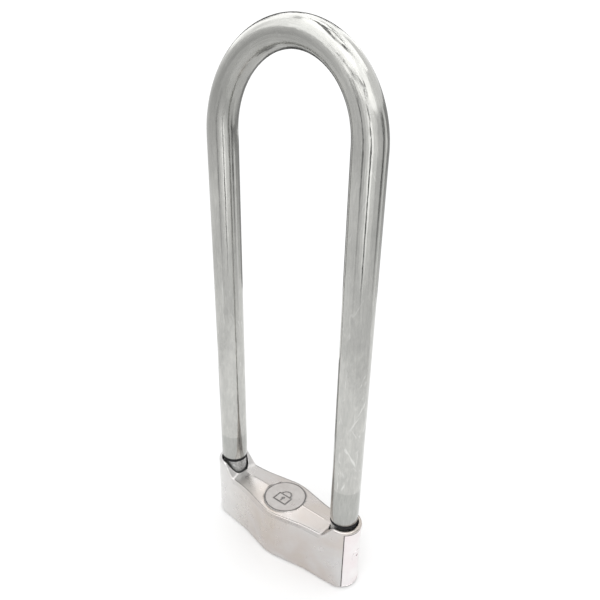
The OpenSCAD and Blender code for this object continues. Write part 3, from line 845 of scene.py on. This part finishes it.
def glow(name, levels):
    """A light of one level, or one that changes with height: pairs of a height in metres and a
    level, from the floor up."""
    n = Nodes(name)
    n.tree.nodes.remove(n.shader)
    light = n.make("ShaderNodeEmission")
    if isinstance(levels, (int, float)):
        light.inputs["Strength"].default_value = levels
    else:
        top, most = levels[-1][0], max(level for _, level in levels)
        stops = [(height / top, (level / most,) * 3) for height, level in levels]
        shade = n.ramp(n.remap(n.axes()[2], 0.0, top, 0.0, 1.0), *stops)
        n.link(n.times(shade, most), light.inputs["Strength"])
    n.link(light.outputs["Emission"], n.out.inputs["Surface"])
    return n.material


def reflected_only(name, points, faces, level):
    """A card that only reflections show: the camera, shadows and matt surfaces don't see it."""
    mesh = bpy.data.meshes.new(name)
    mesh.from_pydata(points, [], faces)
    mesh.materials.append(glow(name, level))
    obj = bpy.data.objects.new(name, mesh)
    scene.collection.objects.link(obj)
    obj.visible_camera = False
    obj.visible_shadow = False
    obj.visible_diffuse = False


def heading(azimuth):
    """The level direction at an azimuth in degrees from -Y towards +X."""
    a = math.radians(azimuth)
    return np.array([math.sin(a), -math.cos(a), 0])


def band(name, level, starts, ends):
    """A card between two rows of points."""
    points = [tuple(p) for pair in zip(starts, ends) for p in pair]
    faces = [(2 * i, 2 * i + 2, 2 * i + 3, 2 * i + 1) for i in range(len(starts) - 1)]
    reflected_only(name, points, faces, level)


def card(name, level, azimuths, far, heights):
    """An upright curved card around the object."""
    ways = [heading(a) for a in np.linspace(*azimuths, CARD_STEPS)]
    low, high = (np.array([0, 0, h]) for h in heights)
    band(name, level, [far * w + low for w in ways], [far * w + high for w in ways])


def fan(name, level, azimuths, reach):
    """A flat card just above the floor, between two radii."""
    ways = [heading(a) for a in np.linspace(*azimuths, FAN_STEPS)]
    lift = np.array([0, 0, 0.0005])
    band(name, level, [reach[0] * w + lift for w in ways], [reach[1] * w + lift for w in ways])


def ceiling(name, level, centre, size, height):
    """A flat card overhead."""
    points = [(centre[0] + u * size[0] / 2, centre[1] + v * size[1] / 2, height)
              for u, v in ((-1, -1), (1, -1), (1, 1), (-1, 1))]
    reflected_only(name, points, [(0, 1, 2, 3)], level)


def streak(name, level, origin, far, width, directions):
    """A narrow card round a point of the bend, tapered at its ends, through directions given as
    azimuth and elevation."""
    rises = [math.radians(rise) for _, rise in directions]
    spots = np.array([heading(azimuth) * math.cos(e) + np.array([0, 0, math.sin(e)])
                      for (azimuth, _), e in zip(directions, rises)])
    side = np.cross(np.gradient(spots, axis=0), spots)
    side /= np.linalg.norm(side, axis=1, keepdims=True)
    last = len(spots) - 1
    half = np.interp(range(last + 1), (0, 1, last - 1, last), (0.1, 1, 1, 0.1)) * width / 2
    centre = np.array(origin) + far * spots
    band(name, level, centre - half[:, None] * side, centre + half[:, None] * side)


def rising(level):
    """From the far floor's brightness to the given level."""
    return (0, FAR_FLOOR), (0.16, level), (TALL, level)


softbox("key", (0.35, -0.45, 0.95), (0, 0, 0.15), (0.4, 0.4), 3)
fan("floor_middle", 1.0, (-98, 133), (0.25, 0.29))
fan("floor_far", FAR_FLOOR, (-98, 133), (0.29, 0.46))
# the room around the object: brightness by height, azimuths, distance and heights
card("skirt_front", rising(0.82), (-10, 133), 0.46, (0, 0.45))
card("skirt_left", ((0, 1.0), (0.05, 1.05), (0.1, 0.88), (0.157, 1.0), (0.2, 0.76), (0.27, 0.84),
                    (0.38, 1.1)), (-98, -8), 0.3, (0, 0.38))
card("skirt_side", ((0, 0.95), (0.12, 0.9), (0.2, 0.68), (0.27, 0.8), (0.38, 1.1)),
     (-118, -98), 0.3, (0, 0.38))
card("skirt_back", rising(0.5), (145, 305), 0.46, (0, 0.2))
card("bank_left", 1.05, (-115, -85), 0.48, (0.46, 1.25))
card("bank_middle", 1.45, (-85, -65), 0.48, (0.46, 1.25))
card("bank", 1.9, (-65, 100), 0.48, (0.46, 1.25))
# dark cards behind the object draw its outlines
card("outline_right", 0.4, (180, 212), 0.45, (0, 0.2))
card("outline", 0.1, (212, 264), 0.45, (0, 0.2))
fan("outline_low", 0.4, (230, 260), (0.1, 0.24))
card("rim", 0.06, (192, 250), 0.12, (0.262, 0.372))
card("rim_right", 0.4, (130, 192), 0.12, (0.22, 0.29))
# panels and the gaps between them draw the lines down the legs
card("gap", ((0, FAR_FLOOR), (0.015, 0.7), (0.06, 0.05), (TALL, 0.05)), (41, 46), 0.44,
     (0, TALL))
card("left_panel", rising(1.1), (17, 32), 0.43, (0, TALL))
card("left_edge", rising(1.7), (32, 40), 0.44, (0, TALL))
card("right_edge", rising(1.9), (48, 56), 0.44, (0, TALL))
card("right_panel", rising(1.15), (56, 80), 0.44, (0, TALL))
card("side_gap", rising(0.15), (112, 124), 0.44, (0, TALL))
card("left_gap", rising(0.3), (-6, 2), 0.44, (0, TALL))
# light from above, on the top of the bend and on the roof
card("halo", 1.9, (182, 282), 0.2, (0.335, 0.6))
ceiling("crown", 2.2, (0, -0.15), (2.2, 0.9), 1.3)
ceiling("crown_back", 2.3, (-0.2, 0.48), (1.8, 0.36), 1.3)
# dark streaks on the right of the bend
upper, lower = (0.027, -0.005, 0.283), (0.036, -0.007, 0.271)
streak("streak_a", 0.22, upper, 0.9, 0.13,
       ((235, 66), (250, 80), (305, 84), (15, 76), (70, 76), (105, 70), (115, 60)))
streak("streak_b", 0.3, upper, 0.85, 0.10, ((237, 60), (228, 76), (193, 77), (155, 78), (132, 69)))
streak("streak_c", 0.25, lower, 0.42, 0.045,
       ((340, 38), (350, 36), (0, 37), (7, 32), (32, 40), (52, 40), (45, 30), (38, 24)))
streak("streak_d", 0.4, lower, 0.4, 0.03, ((60, 52), (66, 44), (60, 34), (50, 26)))
streak("streak_e", 0.3, upper, 0.8, 0.07, ((225, 48), (214, 58), (196, 66), (170, 68)))
